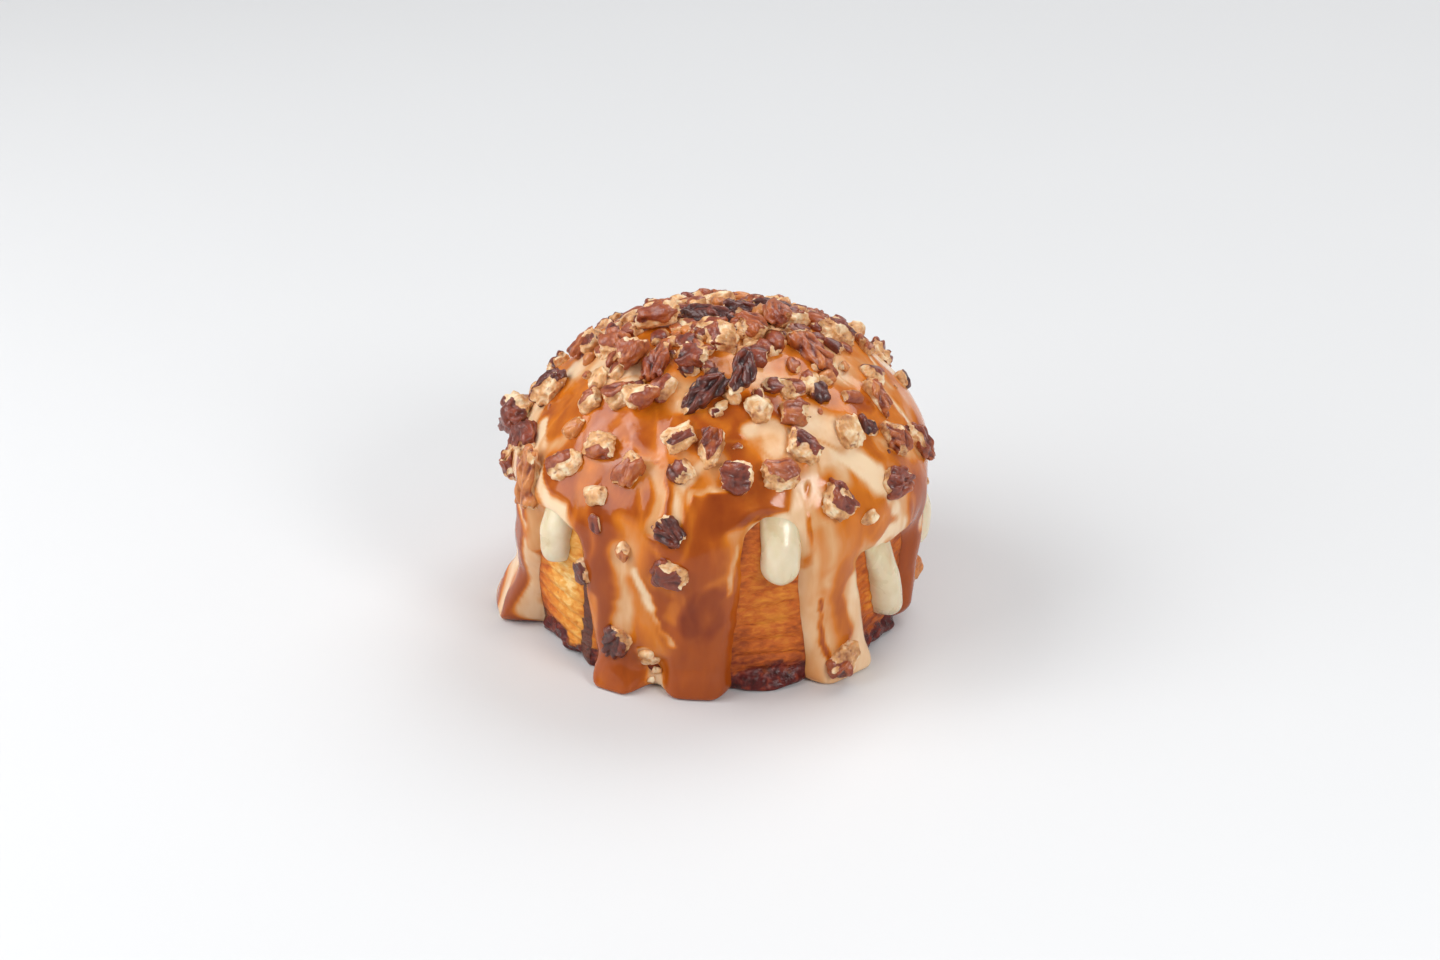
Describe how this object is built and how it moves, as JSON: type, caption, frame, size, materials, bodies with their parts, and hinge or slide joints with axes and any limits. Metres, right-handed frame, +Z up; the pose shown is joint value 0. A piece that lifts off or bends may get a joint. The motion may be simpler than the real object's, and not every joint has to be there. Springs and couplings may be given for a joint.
{
  "type": "sticky bun",
  "caption": "Tall round sticky bun of rolled dough with a cinnamon seam, under caramel and cream icing that runs down its sides, topped with chopped pecans.",
  "frame": {"origin": "centre of the bun's flat foot, on the surface that it stands on", "axes": "+Z up, -Y the front that the picture shows, +X to the right of that view"},
  "size_m": [0.1187, 0.1181, 0.0889],
  "materials": {
    "baked_dough": "baked sweet dough, dull, orange-brown with golden flakes",
    "cinnamon_filling": "sticky dark cinnamon sugar",
    "caramel_icing": "glossy amber caramel marbled with cream icing",
    "plain_cream": "smooth ivory cream icing, satin",
    "pecan": "toasted pecan, red-brown skin and tan flesh"
  },
  "bodies": {
    "root": {"bun": "baked_dough", "cinnamon_filling": "cinnamon_filling", "icing_coat": "caramel_icing", "cream_tongue_1": "plain_cream", "cream_tongue_2": "plain_cream", "cream_tongue_3": "plain_cream", "cream_tongue_4": "plain_cream", "cream_tongue_5": "plain_cream", "pecan_01": "pecan", "pecan_02": "pecan", "pecan_03": "pecan", "pecan_04": "pecan", "pecan_05": "pecan", "pecan_06": "pecan", "pecan_07": "pecan", "pecan_08": "pecan", "pecan_09": "pecan", "pecan_10": "pecan", "pecan_11": "pecan", "pecan_12": "pecan", "pecan_13": "pecan", "pecan_14": "pecan", "pecan_15": "pecan", "pecan_16": "pecan", "pecan_17": "pecan", "pecan_18": "pecan", "pecan_19": "pecan", "pecan_20": "pecan", "pecan_21": "pecan", "pecan_22": "pecan", "pecan_23": "pecan", "pecan_24": "pecan", "pecan_25": "pecan", "pecan_26": "pecan", "pecan_27": "pecan", "pecan_28": "pecan", "pecan_29": "pecan", "pecan_30": "pecan", "pecan_31": "pecan", "pecan_32": "pecan", "pecan_33": "pecan", "pecan_34": "pecan", "pecan_35": "pecan", "pecan_36": "pecan", "pecan_37": "pecan", "pecan_38": "pecan", "pecan_39": "pecan", "pecan_40": "pecan", "pecan_41": "pecan", "pecan_42": "pecan", "pecan_43": "pecan", "pecan_44": "pecan", "pecan_45": "pecan", "pecan_46": "pecan", "pecan_47": "pecan", "pecan_48": "pecan", "pecan_49": "pecan", "pecan_50": "pecan", "pecan_51": "pecan", "pecan_52": "pecan"}
  },
  "joints": []
}
